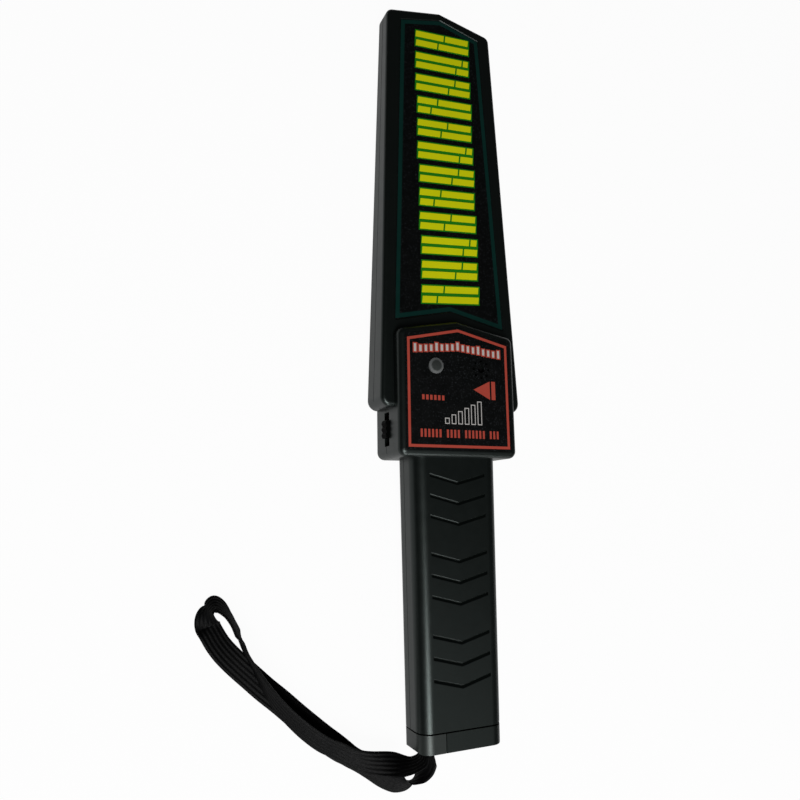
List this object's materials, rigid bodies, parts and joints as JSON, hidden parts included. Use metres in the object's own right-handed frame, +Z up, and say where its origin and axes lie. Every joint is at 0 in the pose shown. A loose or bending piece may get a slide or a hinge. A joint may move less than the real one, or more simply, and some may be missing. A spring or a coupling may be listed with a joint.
{
  "type": "hand-held metal detector wand",
  "caption": "Flat tapered search paddle with a control block and a ribbed handle, side switch and push button, sliding battery door and a wrist strap.",
  "frame": {"origin": "on the back face of the control block that the wand rests on, under the middle of the wand's length and width, without its strap", "axes": "+X to the right seen from the front, +Y from the handle's end to the paddle's tip, +Z up out of the front"},
  "size_m": [0.1672, 0.4319, 0.0344],
  "materials": {
    "housing_black": "moulded black ABS with a fine grain",
    "label_black": "printed polyester film, matt black",
    "clear_lens": "clear moulded plastic",
    "led_clear": "clear epoxy",
    "component_black": "moulded black",
    "board_green": "green solder resist",
    "can_aluminium": "satin",
    "resistor_dark": "ceramic chips, dark glaze",
    "nylon_white": "natural nylon",
    "trimmer_blue": "blue thermoplastic",
    "brass": "turned",
    "steel": "zinc plated",
    "control_black": "moulded black",
    "nickel": "nickel plated",
    "former_grey": "grey ABS",
    "coil_copper": "enamelled copper winding",
    "foam_grey": "closed-cell foam",
    "lead_grey": "insulated wire",
    "motor_steel": "drawn steel can",
    "battery_case": "bare metal case without print",
    "lead_red": "insulated wire",
    "lead_black": "insulated wire",
    "strap_black": "ribbed woven strap"
  },
  "bodies": {
    "wand": {"front_shell": "housing_black", "back_shell": "housing_black", "paddle_label": "label_black", "rear_label": "label_black", "control_label": "label_black", "led_lens": "clear_lens", "indicator_led": "led_clear", "buzzer": "component_black", "circuit_board": "board_green", "microchips": "component_black", "capacitors": "can_aluminium", "resistors": "resistor_dark", "lead_headers": "nylon_white", "trimmer": "trimmer_blue", "board_screws": "steel", "slide_switch": "component_black", "button_switch": "component_black", "charging_jack": "component_black", "jack_nut": "nickel", "coil_former": "former_grey", "search_coil": "coil_copper", "coil_foam": "foam_grey", "coil_lead": "lead_grey", "vibration_motor": "motor_steel", "motor_lead": "lead_grey", "battery": "battery_case", "battery_snap": "component_black", "battery_pad": "foam_grey", "battery_lead_red": "lead_red", "battery_lead_black": "lead_black", "strap_anchor": "housing_black", "strap_end": "strap_black", "strap_pin": "steel", "wrist_strap": "strap_black", "housing_screws": "steel"},
    "switch": {"switch_knob": "control_black"},
    "button": {"sensitivity_button": "control_black"},
    "door": {"battery_door": "housing_black"},
    "rotor": {"trimmer_rotor": "brass"},
    "weight": {"motor_weight": "brass"}
  },
  "joints": [
    {"name": "switch_slide", "type": "slide", "parent": "wand", "child": "switch", "axis": [0, 1, 0], "range_m": [-0.004, 0.004]},
    {"name": "button_press", "type": "slide", "parent": "wand", "child": "button", "axis": [-1, 0, 0], "range_m": [0, 0.001], "stiffness_N_per_m": 800, "springref_m": -0.0005},
    {"name": "door_slide", "type": "slide", "parent": "wand", "child": "door", "axis": [1, 0, 0], "range_m": [0, 0.034]},
    {"name": "trimmer_turn", "type": "hinge", "parent": "wand", "child": "rotor", "pos_m": [0.008, -0.02196, 0.0141], "axis": [0, 0, 1], "range_deg": [-135, 135]},
    {"name": "weight_spin", "type": "hinge", "parent": "wand", "child": "weight", "pos_m": [0.008, -0.106, 0.01625], "axis": [0, 1, 0], "continuous": true}
  ]
}
